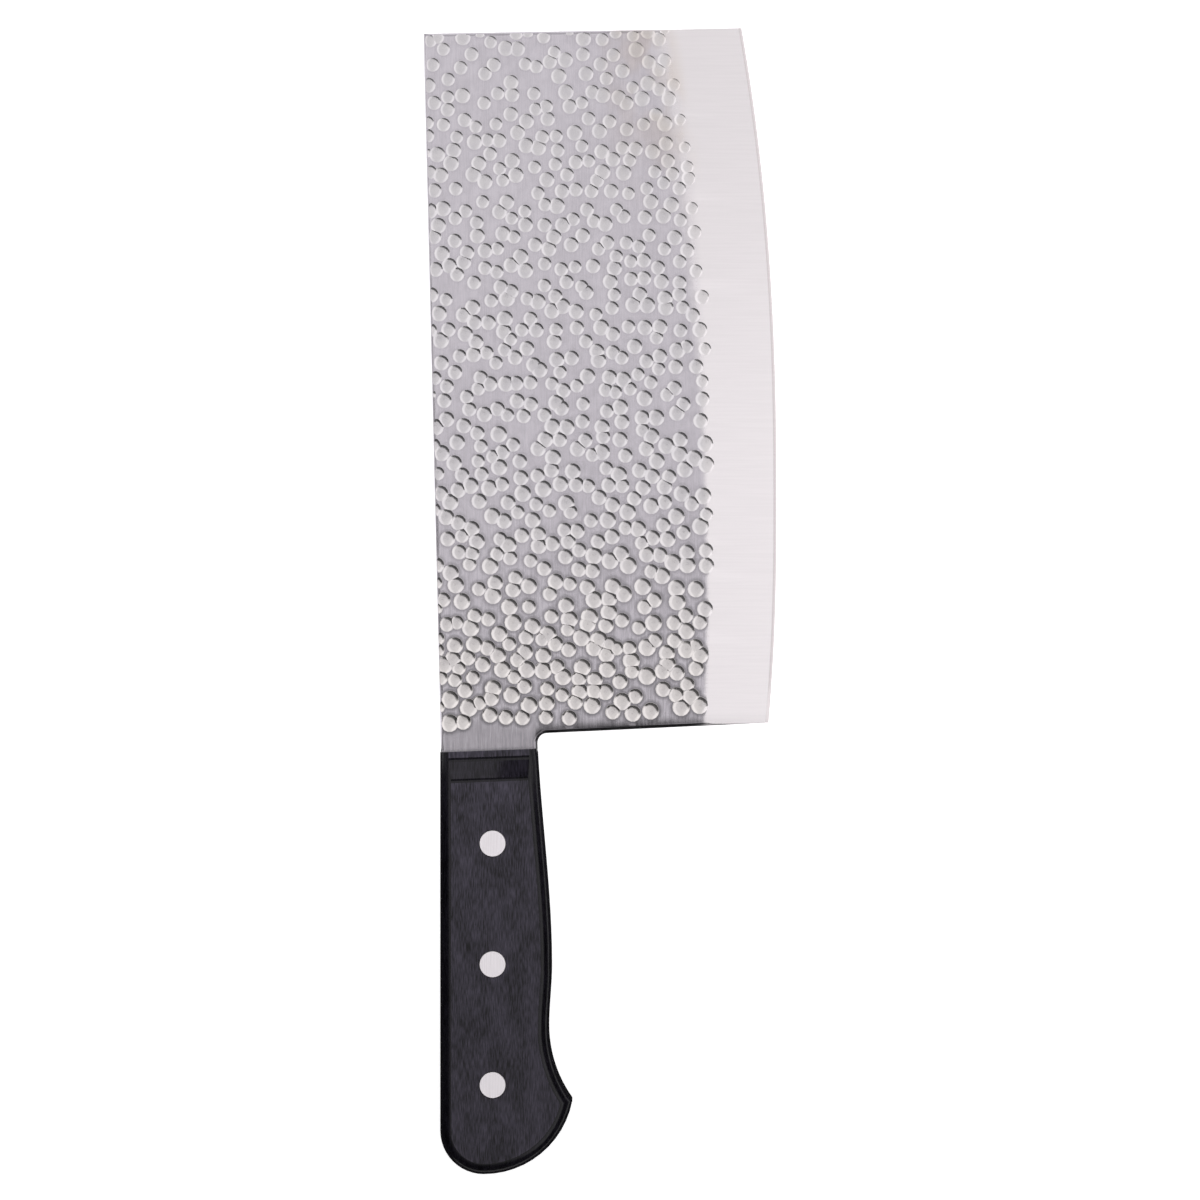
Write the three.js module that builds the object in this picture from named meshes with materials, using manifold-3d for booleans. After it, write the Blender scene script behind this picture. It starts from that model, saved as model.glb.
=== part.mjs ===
// Vegetable cleaver: a hammered steel blade with a full tang, and two wooden handle scales that
// three two-piece rivets hold to the tang.
// Millimetres, +Z up. The knife lies on its side: +Y runs from the butt to the blade's tip end and
// +X from the spine to the cutting edge. The origin is under the middle of the knife's box.
import * as THREE from "three";
import { mergeVertices } from "three/addons/utils/BufferGeometryUtils.js";
import Module from "manifold-3d";

const wasm = await Module();
wasm.setup();

const degrees = THREE.MathUtils.degToRad;

// Blade, in plan. Plan sizes count from the corner where the handle's back meets its front end.
const EDGE_LENGTH = 170; // heel to tip along the cutting edge
const EDGE_REACH = 82.2; // handle back to the fullest point of the edge
const EDGE_FULLEST_AT = 53; // heel to that point
const EDGE_CURVE_AT_TIP = 8.6; // how far the edge has turned back towards the spine at the tip
const EDGE_CURVE_AT_HEEL = 2; // and at the heel
const EDGE_CURVE_POWER = 2.4; // how late the turn comes: 2 is a parabola
const SPINE_LEAN = degrees(1.4); // the spine leans back from the line of the handle
const TIP_SLOPE = degrees(1); // the tip end against a square cut
const HEEL_SLOPE = degrees(2.7); // the heel against a square cut
const NECK_LENGTH = 4.4; // handle front to the heel, at the neck's edge side
const NECK_FILLET = 2.3; // inside radius between neck and heel
const NECK_ROOT = 3; // how far the rounded neck runs in between the scales

// Blade, in thickness.
const BLADE_THICKNESS = 2.2;
const BLADE_ROUND = 0.9; // rounding of the spine, tip end, heel and neck
const BEVEL_WIDTH_AT_TIP = 20.8; // ground bevel beside the edge
const BEVEL_WIDTH_AT_HEEL = 15.9;
const BEVEL_FOOT_THICKNESS = 0.5; // steel left where the ground bevel meets the honed one
const HONED_WIDTH = 0.75; // narrow honed bevel along the edge
const EDGE_THICKNESS = 0.1; // what the honing leaves

// Handle.
const HANDLE_LENGTH = 102.9; // along its back
const HANDLE_THICKNESS = 18; // over both scales
const FRONT_WIDTH = 23.7;
const FRONT_SLOPE = degrees(2.1); // the front end against a square cut
const FRONT_FLARE = degrees(2.9); // how the belly opens behind the front end
const BELLY_WIDTH = 27.2; // widest point ahead of the beak
const BELLY_TO_WAIST = 15; // from that point back to the waist
const WAIST_WIDTH = 26.5; // narrowest point ahead of the beak
const BEAK_REACH = 32.2; // handle back to the point of the beak
const FLANK_RADIUS = 30.6; // hollow between waist and beak
const BUTT_RADIUS = 22; // round end below the beak
const BEAK_TURN = degrees(10.94); // the beak's point comes this far short of the round end's widest
const BUTT_CORNER_RADIUS = 10.6; // round end at the handle's back
const SCALE_ROUND = 2.7; // rounding of each scale's outer edges
const RELIEF_LIP = 2; // flat strip at the front end, a little below the scale's face
const RELIEF_RAMP = 5.1; // slope from that strip up to the face
const RELIEF_DEPTH = 0.1;
const GLUE_LINE = 0.1; // between a scale and the tang
const TANG_SETBACK = 0.2; // the tang's square shoulders stop this far short of the front end

// Rivets: a tubular socket from below and a solid pin from above, pressed together.
const RIVET_NAMES = ["front", "middle", "rear"];
const RIVET_INSET = 12.8; // handle back to the rivets' line
const RIVET_FROM_FRONT = 22.2; // front end to the first rivet
const RIVET_FROM_BUTT = 21.9; // butt end to the last one
const RIVET_HEAD_DIAMETER = 6.5;
const RIVET_HEAD_DEPTH = 2.5;
const SOCKET_DIAMETER = 5; // outside of the socket's tube
const SOCKET_BORE = 3.2;
const SOCKET_END_GAP = 0.5; // tube end to the underside of the pin's head
const SOCKET_FLOOR = 4.5; // steel below the bore, head included
const PIN_LEAD = 0.4; // chamfer at the pin's end
const PIN_END_GAP = 1; // pin end to the bottom of the socket's bore
const RIVET_FIT = 0.05; // clearance all round, of heads in counterbores and of pins in sockets
const HEAD_SEAT_GAP = 0.1; // head to the floor of its counterbore
const TANG_HOLE_CLEARANCE = 0.2; // all round the socket's tube

// How finely round stretches are divided, and how far a cutting shape runs past what it cuts.
const EDGE_STEPS = 44;
const ARC_STEPS = 12;
const ROUND_STEPS = 5;
const BLADE_ROUND_STEPS = 3;
const RIVET_SIDES = 40;
const OVERRUN = 4;
const MEETING_TOLERANCE = 1e-4;
const ROUND_WALL_SHARE = 0.48; // a rounding takes no more than this share of its plate

// Finishes.
const STEEL = new THREE.MeshStandardMaterial({ color: 0xc2bfc1, roughness: 0.32, metalness: 1 });
const RIVET_STEEL = new THREE.MeshStandardMaterial({ color: 0xdcd7da, roughness: 0.38, metalness: 1 });
const BLACK_WOOD = new THREE.MeshStandardMaterial({ color: 0x2b2a2e, roughness: 0.42, metalness: 0 });

// A closed three.js geometry as a solid that can be joined and cut.
function solidOf(geometry) {
  const bare = geometry.clone();
  bare.deleteAttribute("normal");
  bare.deleteAttribute("uv");
  const merged = mergeVertices(bare, MEETING_TOLERANCE);
  const corners = merged.index.array;
  const triVerts = [];
  for (let i = 0; i < corners.length; i += 3) {
    const [a, b, c] = corners.slice(i, i + 3);
    if (a !== b && b !== c && c !== a) triVerts.push(a, b, c);
  }
  const mesh = new wasm.Mesh({
    numProp: 3,
    vertProperties: merged.attributes.position.array,
    triVerts: new Uint32Array(triVerts),
  });
  return new wasm.Manifold(mesh);
}

// A solid back as a three.js geometry.
function geometryOf(solid) {
  const { vertProperties, triVerts } = solid.getMesh();
  const geometry = new THREE.BufferGeometry();
  geometry.setAttribute("position", new THREE.BufferAttribute(vertProperties, 3));
  geometry.setIndex(new THREE.BufferAttribute(triVerts, 1));
  geometry.computeVertexNormals();
  return geometry;
}

// The points of several curves in turn, with one point where two of them meet.
function chain(...curves) {
  const points = [];
  for (const [curve, steps] of curves) {
    for (const point of curve.getPoints(steps)) {
      if (!points.length || points.at(-1).distanceTo(point) > MEETING_TOLERANCE) points.push(point);
    }
  }
  return points;
}

function arc(x, y, radius, from, to, clockwise = false) {
  return new THREE.EllipseCurve(x, y, radius, radius, from, to, clockwise);
}

function line(...corners) {
  return new THREE.LineCurve(new THREE.Vector2(...corners[0]), new THREE.Vector2(...corners[1]));
}

function bezier(...corners) {
  return new THREE.CubicBezierCurve(...corners.map((corner) => new THREE.Vector2(...corner)));
}

// A plate of the given outline, centred on z 0, whose edges are rounded over on both faces.
function roundedPlate(outline, thickness, round, roundSteps) {
  const radius = Math.min(round, ROUND_WALL_SHARE * thickness);
  const plate = new THREE.ExtrudeGeometry(new THREE.Shape(outline), {
    depth: thickness - 2 * radius,
    bevelEnabled: true,
    bevelThickness: radius,
    bevelSize: radius,
    bevelOffset: -radius,
    bevelSegments: roundSteps,
  });
  return plate.translate(0, 0, radius - thickness / 2);
}

// A plate of the given outline, centred on z 0, with square edges.
function squarePlate(outline, thickness) {
  const shape = new THREE.Shape(outline);
  const plate = new THREE.ExtrudeGeometry(shape, { depth: thickness, bevelEnabled: false });
  return plate.translate(0, 0, -thickness / 2);
}

// A turned shape standing on the z axis, from its profile of [radius, height] corners.
function turned(profile) {
  const corners = profile.map((corner) => new THREE.Vector2(...corner));
  return new THREE.LatheGeometry(corners, RIVET_SIDES).rotateX(Math.PI / 2);
}

// A closed shape through cross-sections that all have the same number of corners, each given
// counter-clockwise with x to the right and z up, in the order of their y.
function loft(sections) {
  const count = sections[0].length;
  const positions = sections.flat().flatMap((corner) => [corner.x, corner.y, corner.z]);
  const faces = [];
  for (let s = 0; s + 1 < sections.length; s += 1) {
    for (let c = 0; c < count; c += 1) {
      const near = s * count + c;
      const next = s * count + ((c + 1) % count);
      faces.push(near, near + count, next, next, near + count, next + count);
    }
  }
  const flat = sections[0].map((corner) => new THREE.Vector2(corner.x, corner.z));
  const last = (sections.length - 1) * count;
  for (const [a, b, c] of THREE.ShapeUtils.triangulateShape(flat, [])) {
    faces.push(a, b, c, last + a, last + c, last + b);
  }
  const geometry = new THREE.BufferGeometry();
  geometry.setAttribute("position", new THREE.Float32BufferAttribute(positions, 3));
  geometry.setIndex(faces);
  return geometry;
}

// The handle's front end and the blade's heel are straight slanting lines in plan: y at an x.
const frontLine = (x) => x * Math.tan(FRONT_SLOPE);
const heelLine = (x) => NECK_LENGTH + (x - FRONT_WIDTH) * Math.tan(HEEL_SLOPE);

// Places along the cutting edge.
const HEEL_Y = heelLine(EDGE_REACH - EDGE_CURVE_AT_HEEL);
const TIP_Y = HEEL_Y + EDGE_LENGTH;
const FULLEST_Y = HEEL_Y + EDGE_FULLEST_AT;

// The edge's x at a height y: it turns back from its fullest point, by a power of the distance.
function edgeX(y) {
  const [turn, run] =
    y > FULLEST_Y
      ? [EDGE_CURVE_AT_TIP, TIP_Y - FULLEST_Y]
      : [EDGE_CURVE_AT_HEEL, FULLEST_Y - HEEL_Y];
  return EDGE_REACH - turn * Math.pow(Math.abs(y - FULLEST_Y) / run, EDGE_CURVE_POWER);
}

// Blade and neck in plan, counter-clockwise from the hidden root of the neck.
function bladeOutline() {
  const filletX = FRONT_WIDTH + NECK_FILLET;
  const filletY = heelLine(filletX) - NECK_FILLET / Math.cos(HEEL_SLOPE);
  const fillet = arc(filletX, filletY, NECK_FILLET, Math.PI, Math.PI / 2 + HEEL_SLOPE, true);
  const edge = [];
  for (let step = 0; step <= EDGE_STEPS; step += 1) {
    const y = HEEL_Y + (EDGE_LENGTH * step) / EDGE_STEPS;
    edge.push(new THREE.Vector2(edgeX(y), y));
  }
  const spineTopY = TIP_Y - edgeX(TIP_Y) * Math.tan(TIP_SLOPE);
  const spineTop = spineTopY / (1 + Math.tan(SPINE_LEAN) * Math.tan(TIP_SLOPE));
  return [
    new THREE.Vector2(0, -NECK_ROOT),
    new THREE.Vector2(FRONT_WIDTH, -NECK_ROOT),
    ...fillet.getPoints(ARC_STEPS),
    ...edge,
    new THREE.Vector2(-spineTop * Math.tan(SPINE_LEAN), spineTop),
    new THREE.Vector2(0, 0),
  ];
}

// The handle in plan, counter-clockwise down its back, run on past the front end for trimming.
function handleOutline() {
  const frontRun = SCALE_ROUND + OVERRUN;
  const buttY = BUTT_RADIUS - HANDLE_LENGTH;
  const cornerY = BUTT_CORNER_RADIUS - HANDLE_LENGTH;
  const buttReach = (BEAK_REACH - BUTT_CORNER_RADIUS) / Math.cos(BEAK_TURN);
  const buttCentre = [BUTT_CORNER_RADIUS, buttY];
  const butt = new THREE.EllipseCurve(...buttCentre, buttReach, BUTT_RADIUS, -Math.PI / 2, -BEAK_TURN);
  const beakY = buttY - BUTT_RADIUS * Math.sin(BEAK_TURN);
  const flankX = WAIST_WIDTH + FLANK_RADIUS;
  const flankTurn = Math.acos((flankX - BEAK_REACH) / FLANK_RADIUS);
  const waistY = beakY + FLANK_RADIUS * Math.sin(flankTurn);
  const bellyY = waistY + BELLY_TO_WAIST;
  const frontY = frontLine(FRONT_WIDTH);
  const ease = BELLY_TO_WAIST / 3;
  const opening = (frontY - bellyY) / 3;
  const flareX = FRONT_WIDTH + opening * Math.tan(FRONT_FLARE);
  const waist = [WAIST_WIDTH, waistY];
  const belly = [BELLY_WIDTH, bellyY];
  const front = [FRONT_WIDTH, frontY];
  return chain(
    [line([0, frontRun], [0, cornerY]), 1],
    [arc(BUTT_CORNER_RADIUS, cornerY, BUTT_CORNER_RADIUS, Math.PI, 1.5 * Math.PI), ARC_STEPS],
    [butt, ARC_STEPS],
    [arc(flankX, waistY, FLANK_RADIUS, Math.PI + flankTurn, Math.PI, true), ARC_STEPS],
    [bezier(waist, [WAIST_WIDTH, waistY + ease], [BELLY_WIDTH, bellyY - ease], belly), ARC_STEPS],
    [bezier(belly, [BELLY_WIDTH, bellyY + opening], [flareX, frontY - opening], front), ARC_STEPS],
    [line(front, [FRONT_WIDTH, frontY + frontRun]), 1],
  );
}

// The rivets' places in plan: one near each end of the handle and the rest evenly between.
function rivetPlaces() {
  const firstY = -RIVET_FROM_FRONT;
  const lastY = RIVET_FROM_BUTT - HANDLE_LENGTH;
  return RIVET_NAMES.map((_, i) => {
    const y = THREE.MathUtils.lerp(firstY, lastY, i / (RIVET_NAMES.length - 1));
    return new THREE.Vector3(RIVET_INSET, y, 0);
  });
}

// What the grinding takes off one face of the blade: side is 1 above and -1 below.
function bevelCutter(side) {
  const half = BLADE_THICKNESS / 2;
  const sections = [];
  for (let step = -1; step <= EDGE_STEPS + 1; step += 1) {
    const along = step / EDGE_STEPS;
    const y = HEEL_Y + EDGE_LENGTH * along;
    const width = THREE.MathUtils.lerp(BEVEL_WIDTH_AT_HEEL, BEVEL_WIDTH_AT_TIP, along);
    const climb = (half - BEVEL_FOOT_THICKNESS / 2) / (width - HONED_WIDTH);
    const hone = (BEVEL_FOOT_THICKNESS - EDGE_THICKNESS) / 2 / HONED_WIDTH;
    const profile = [
      [OVERRUN, EDGE_THICKNESS / 2 - hone * OVERRUN],
      [OVERRUN, half + OVERRUN],
      [-width - OVERRUN, half + OVERRUN],
      [-width - OVERRUN, half + climb * OVERRUN],
      [-HONED_WIDTH, BEVEL_FOOT_THICKNESS / 2],
    ];
    const section = profile.map(([x, z]) => new THREE.Vector3(edgeX(y) + x, y, side * z));
    sections.push(side > 0 ? section : section.reverse());
  }
  return solidOf(loft(sections));
}

// Blade, neck and tang in one piece of steel, with the rivet holes through the tang.
function makeBlade() {
  const blade = roundedPlate(bladeOutline(), BLADE_THICKNESS, BLADE_ROUND, BLADE_ROUND_STEPS);
  const tang = squarePlate(handleOutline(), BLADE_THICKNESS);
  let steel = solidOf(blade).add(solidOf(tang).subtract(frontCutter(-TANG_SETBACK)));
  for (const side of [1, -1]) steel = steel.subtract(bevelCutter(side));
  const holeRadius = SOCKET_DIAMETER / 2 + TANG_HOLE_CLEARANCE;
  const reach = BLADE_THICKNESS / 2 + OVERRUN;
  const hole = turned([[0, -reach], [holeRadius, -reach], [holeRadius, reach], [0, reach]]);
  for (const place of rivetPlaces()) {
    steel = steel.subtract(solidOf(hole.clone().translate(...place)));
  }
  return geometryOf(steel);
}

// The shallow relief across a scale's face at the front end, as a cutter along the front line.
function reliefCutter() {
  const face = HANDLE_THICKNESS / 2;
  const slope = RELIEF_DEPTH / RELIEF_RAMP;
  const profile = [
    [OVERRUN, face - RELIEF_DEPTH],
    [-RELIEF_LIP, face - RELIEF_DEPTH],
    [-RELIEF_LIP - RELIEF_RAMP - OVERRUN, face + slope * OVERRUN],
    [-RELIEF_LIP - RELIEF_RAMP - OVERRUN, face + OVERRUN],
    [OVERRUN, face + OVERRUN],
  ];
  const shape = new THREE.Shape(profile.map((corner) => new THREE.Vector2(...corner)));
  const length = FRONT_WIDTH + BELLY_WIDTH;
  const cutter = new THREE.ExtrudeGeometry(shape, { depth: length, bevelEnabled: false });
  cutter.rotateX(Math.PI / 2).rotateZ(Math.PI / 2);
  return solidOf(cutter.translate(FRONT_WIDTH / 2 - length / 2, 0, 0).rotateZ(FRONT_SLOPE));
}

// Everything ahead of the handle's front end, which is moved along the handle by shift.
function frontCutter(shift) {
  const size = 2 * HANDLE_LENGTH;
  const ahead = new THREE.BoxGeometry(size, size, size);
  return solidOf(ahead.translate(0, size / 2, 0).rotateZ(FRONT_SLOPE).translate(0, shift, 0));
}

// The upper scale: half of the rounded handle bar, relieved at the front and counterbored.
function makeScale() {
  const seat = BLADE_THICKNESS / 2 + GLUE_LINE;
  const face = HANDLE_THICKNESS / 2;
  const bar = roundedPlate(handleOutline(), HANDLE_THICKNESS, SCALE_ROUND, ROUND_STEPS);
  const below = new THREE.BoxGeometry(4 * BEAK_REACH, 4 * HANDLE_LENGTH, HANDLE_THICKNESS);
  let scale = solidOf(bar).subtract(solidOf(below.translate(0, 0, seat - HANDLE_THICKNESS / 2)));
  scale = scale.subtract(frontCutter(0)).subtract(reliefCutter());
  const tubeHole = SOCKET_DIAMETER / 2 + RIVET_FIT;
  const headHole = RIVET_HEAD_DIAMETER / 2 + RIVET_FIT;
  const floor = face - RIVET_HEAD_DEPTH - HEAD_SEAT_GAP;
  const drill = turned([
    [0, 0],
    [tubeHole, 0],
    [tubeHole, floor],
    [headHole, floor],
    [headHole, face + OVERRUN],
    [0, face + OVERRUN],
  ]);
  for (const place of rivetPlaces()) {
    scale = scale.subtract(solidOf(drill.clone().translate(...place)));
  }
  return geometryOf(scale);
}

// The underside of the pin's head, the bottom of the socket's bore and the end of the pin in it.
const HEAD_UNDERSIDE = HANDLE_THICKNESS / 2 - RIVET_HEAD_DEPTH;
const BORE_BOTTOM = SOCKET_FLOOR - HANDLE_THICKNESS / 2;
const PIN_END = BORE_BOTTOM + PIN_END_GAP;

// Tubular half of a rivet: its head fills the lower counterbore and its bore takes the pin.
function makeSocket() {
  return turned([
    [0, -HANDLE_THICKNESS / 2],
    [RIVET_HEAD_DIAMETER / 2, -HANDLE_THICKNESS / 2],
    [RIVET_HEAD_DIAMETER / 2, -HEAD_UNDERSIDE],
    [SOCKET_DIAMETER / 2, -HEAD_UNDERSIDE],
    [SOCKET_DIAMETER / 2, HEAD_UNDERSIDE - SOCKET_END_GAP],
    [SOCKET_BORE / 2, HEAD_UNDERSIDE - SOCKET_END_GAP],
    [SOCKET_BORE / 2, BORE_BOTTOM],
    [0, BORE_BOTTOM],
  ]);
}

// Solid half of a rivet: its head fills the upper counterbore.
function makePin() {
  const radius = SOCKET_BORE / 2 - RIVET_FIT;
  return turned([
    [0, PIN_END],
    [radius - PIN_LEAD, PIN_END],
    [radius, PIN_END + PIN_LEAD],
    [radius, HEAD_UNDERSIDE],
    [RIVET_HEAD_DIAMETER / 2, HEAD_UNDERSIDE],
    [RIVET_HEAD_DIAMETER / 2, HANDLE_THICKNESS / 2],
    [0, HANDLE_THICKNESS / 2],
  ]);
}

function named(name, geometry, material) {
  const mesh = new THREE.Mesh(geometry, material);
  mesh.name = name;
  return mesh;
}

// The knife, built about the middle of its blade's thickness.
const knife = new THREE.Group();
knife.add(named("blade_and_tang", makeBlade(), STEEL));

const upperScale = named("upper_scale", makeScale(), BLACK_WOOD);
const lowerScale = named("lower_scale", upperScale.geometry, BLACK_WOOD);
lowerScale.scale.z = -1;
knife.add(upperScale, lowerScale);

rivetPlaces().forEach((place, i) => {
  const socket = named(`${RIVET_NAMES[i]}_rivet_socket`, makeSocket(), RIVET_STEEL);
  const pin = named(`${RIVET_NAMES[i]}_rivet_pin`, makePin(), RIVET_STEEL);
  socket.position.copy(place);
  pin.position.copy(place);
  knife.add(socket, pin);
});

// The origin goes under the middle of the knife's box.
const box = new THREE.Box3().setFromObject(knife);
const middle = box.getCenter(new THREE.Vector3());
knife.position.set(-middle.x, -middle.y, -box.min.z);

const cleaver = new THREE.Group();
cleaver.add(knife);

export default cleaver;
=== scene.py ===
"""A vegetable cleaver with a hammered blade, black wooden scales and flush steel rivets.

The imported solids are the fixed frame, in metres: +X runs from the spine to the cutting edge, +Y from
the butt to the tip end and +Z up out of the blade's side. Each piece made here is a finer copy of
the solid that it stands for, and lies where that solid lies.
"""

import logging
import math
from collections.abc import Iterable, Mapping, Sequence
from dataclasses import dataclass, field
from enum import Enum

import bmesh
import bpy
import numpy as np
from bmesh.types import BMEdge, BMesh, BMFace, BMLayerAccessLoop, BMLayerItem
from bpy.types import Material, Mesh, Node, NodeSocket, NodeTree, Object
from mathutils import Matrix, Vector


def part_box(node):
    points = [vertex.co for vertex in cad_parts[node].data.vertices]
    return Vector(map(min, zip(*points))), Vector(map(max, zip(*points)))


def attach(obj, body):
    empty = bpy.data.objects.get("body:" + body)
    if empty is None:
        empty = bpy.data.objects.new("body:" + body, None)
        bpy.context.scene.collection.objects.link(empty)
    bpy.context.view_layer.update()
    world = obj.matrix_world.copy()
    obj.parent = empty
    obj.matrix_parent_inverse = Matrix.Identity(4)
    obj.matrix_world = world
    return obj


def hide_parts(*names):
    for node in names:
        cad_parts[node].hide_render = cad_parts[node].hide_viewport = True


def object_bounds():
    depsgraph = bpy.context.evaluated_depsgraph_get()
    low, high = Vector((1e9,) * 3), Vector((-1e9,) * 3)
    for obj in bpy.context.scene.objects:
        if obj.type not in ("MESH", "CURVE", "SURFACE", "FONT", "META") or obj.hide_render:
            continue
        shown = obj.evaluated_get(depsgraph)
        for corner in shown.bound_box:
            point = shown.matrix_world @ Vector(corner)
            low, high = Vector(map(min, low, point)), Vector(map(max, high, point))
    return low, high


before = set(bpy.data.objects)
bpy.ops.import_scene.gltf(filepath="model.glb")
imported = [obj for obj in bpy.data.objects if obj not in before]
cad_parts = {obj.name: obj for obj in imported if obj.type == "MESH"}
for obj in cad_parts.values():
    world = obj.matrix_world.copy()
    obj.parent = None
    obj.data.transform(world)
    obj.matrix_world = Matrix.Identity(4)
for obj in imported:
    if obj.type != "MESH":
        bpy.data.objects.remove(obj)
CAD_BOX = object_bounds()

MM = 0.001
WELD = 0.001 * MM
BODY = "root"
GRIND_MAP = "grind"
BRUSH_MAP = "brush"
PEENED = "peened"
POLISHED = "polished"
HEEL = "above_heel"
RIM = "rim"
STRENGTH = "__mod_weightednormals_faceweight"
BUFFED_AND_SHADED = 0.5
FINE = 3.0
NOISE_SPAN = (0.3, 0.7)
WHITE = (1.0, 1.0, 1.0)
LOG = logging.getLogger("cleaver")

Colour = tuple[float, float, float]
Size = tuple[float, float, float]
Place = tuple[float, float, float]
Pair = tuple[float, float]
Feed = NodeSocket | float | Sequence[float]
Inputs = Mapping[str | int, Feed]


class Ramp(Enum):
    """How a number runs from one value to another."""

    EVEN = "LINEAR"
    SMOOTH = "SMOOTHSTEP"


class Blend(Enum):
    """How one colour goes onto another."""

    COVER = "MIX"
    MULTIPLY = "MULTIPLY"


class Zone(Enum):
    """How a stretch of the blade's surface was worked."""

    FLAT = "brushed flat"
    BEVEL = "ground bevel"
    ROUND = "rounded edge or wall"
    MARK = "hammer mark"


class Hold(Enum):
    """How strongly a face holds the shading normals at its corners against its neighbours."""

    WEAK = -16384
    MEDIUM = 0
    STRONG = 16384


class Half(Enum):
    """The two halves of a rivet."""

    PIN = "pin"
    SOCKET = "socket"


class NodeSheet:
    """Short calls for adding and joining the nodes of one tree."""

    NUMBER_INPUTS = (0, 2, 3)

    def __init__(self, tree: NodeTree) -> None:
        """Keeps the tree that the nodes go into."""
        self.tree = tree

    def feed(self, node: Node, inputs: Inputs) -> None:
        """Feeds a node.

        Args:
            node: The node.
            inputs: The output to link to each input, or the plain value to set, by name or number.
        """
        for key, value in inputs.items():
            if isinstance(value, NodeSocket):
                self.tree.links.new(value, node.inputs[key])
            else:
                node.inputs[key].default_value = value

    def add(self, kind: str, inputs: Inputs | None = None, **settings: object) -> Node:
        """Adds a node.

        Args:
            kind: The node's type name.
            inputs: What it is fed, if anything.
            **settings: Values of the node's own properties, by name.

        Returns:
            The new node.
        """
        node = self.tree.nodes.new(kind)
        for name, value in settings.items():
            setattr(node, name, value)
        self.feed(node, inputs or {})
        return node

    def split(self, place: NodeSocket) -> tuple[NodeSocket, ...]:
        """Splits coordinates into the sockets of X, Y and Z."""
        return tuple(self.add("ShaderNodeSeparateXYZ", {0: place}).outputs)

    def maths(self, operation: str, *numbers: Feed) -> NodeSocket:
        """Joins numbers by an operation of the Math node."""
        return self.add("ShaderNodeMath", dict(enumerate(numbers)), operation=operation).outputs[0]

    def product(self, first: Feed, *others: Feed) -> NodeSocket:
        """Multiplies numbers.

        Args:
            first: The first number.
            *others: Those that it is multiplied by in turn.

        Returns:
            The product's socket.
        """
        for other in others:
            first = self.maths("MULTIPLY", first, other)
        return first

    def mix_numbers(self, share: Feed, first: Feed, second: Feed) -> NodeSocket:
        """Mixes two numbers, with the second one's share from 0 to 1."""
        inputs = dict(zip(self.NUMBER_INPUTS, (share, first, second)))
        return self.add("ShaderNodeMix", inputs, data_type="FLOAT").outputs[0]

    def fade(
        self,
        value: Feed,
        start: float,
        end: float,
        low: Feed = 0.0,
        high: Feed = 1.0,
        way: Ramp = Ramp.SMOOTH,
    ) -> NodeSocket:
        """Turns a number into a step between two values.

        Args:
            value: The number.
            start: Where the step begins.
            end: Where the step ends.
            low: The result at the start.
            high: The result at the end.
            way: How it runs between them.

        Returns:
            The result's socket.
        """
        inputs = {"Value": value, "From Min": start, "From Max": end, "To Min": low, "To Max": high}
        return self.add("ShaderNodeMapRange", inputs, interpolation_type=way.value).outputs["Result"]


class MaterialSheet(NodeSheet):
    """The nodes of one material: its shader, and patterns that lie on the object's coordinates."""

    COLOUR_INPUTS = (0, 6, 7)
    COLOUR_OUTPUT = 2

    def __init__(self, tree: NodeTree) -> None:
        """Starts from a new material.

        Args:
            tree: The material's tree.
        """
        super().__init__(tree)
        self.shader = tree.nodes["Principled BSDF"]
        self.place = self.add("ShaderNodeTexCoord").outputs["Object"]

    def attribute(self, name: str) -> NodeSocket:
        """Reads a number that the mesh holds."""
        return self.add("ShaderNodeAttribute", attribute_type="GEOMETRY", attribute_name=name).outputs["Fac"]

    def mix_colours(
        self, share: Feed, first: Feed, second: Feed, blend: Blend = Blend.COVER
    ) -> NodeSocket:
        """Mixes two colours.

        Args:
            share: How much of the second one is taken.
            first: The colour at a share of 0.
            second: The colour at a share of 1.
            blend: How the second one goes onto the first.

        Returns:
            The mix's socket.
        """
        colours = [value if isinstance(value, NodeSocket) else (*value, 1.0) for value in (first, second)]
        inputs = dict(zip(self.COLOUR_INPUTS, (share, *colours)))
        node = self.add("ShaderNodeMix", inputs, data_type="RGBA", blend_type=blend.value)
        return node.outputs[self.COLOUR_OUTPUT]

    def tint(self, colour: Feed, factor: Feed, share: Feed = 1.0) -> NodeSocket:
        """Multiplies a colour by another one, or by a shade, as far as the share goes."""
        return self.mix_colours(share, colour, factor, Blend.MULTIPLY)

    def noise(self, cell: Size, detail: float = 2.0) -> NodeSocket:
        """Makes a soft noise between 0 and 1.

        Args:
            cell: The size of its cells along X, Y and Z, in metres.
            detail: How many finer layers it has.

        Returns:
            The noise's socket.
        """
        scale = [1.0 / length for length in cell]
        mapping = self.add("ShaderNodeMapping", {"Vector": self.place, "Scale": scale})
        inputs = {"Vector": mapping.outputs["Vector"], "Scale": 1.0, "Detail": detail}
        return self.add("ShaderNodeTexNoise", inputs).outputs["Fac"]

    def relief(self, height: NodeSocket, depth: float) -> NodeSocket:
        """Turns a height between 0 and 1, which measures the depth at 1, into a bumped normal."""
        return self.add("ShaderNodeBump", {"Height": height, "Distance": depth}).outputs["Normal"]


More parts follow.
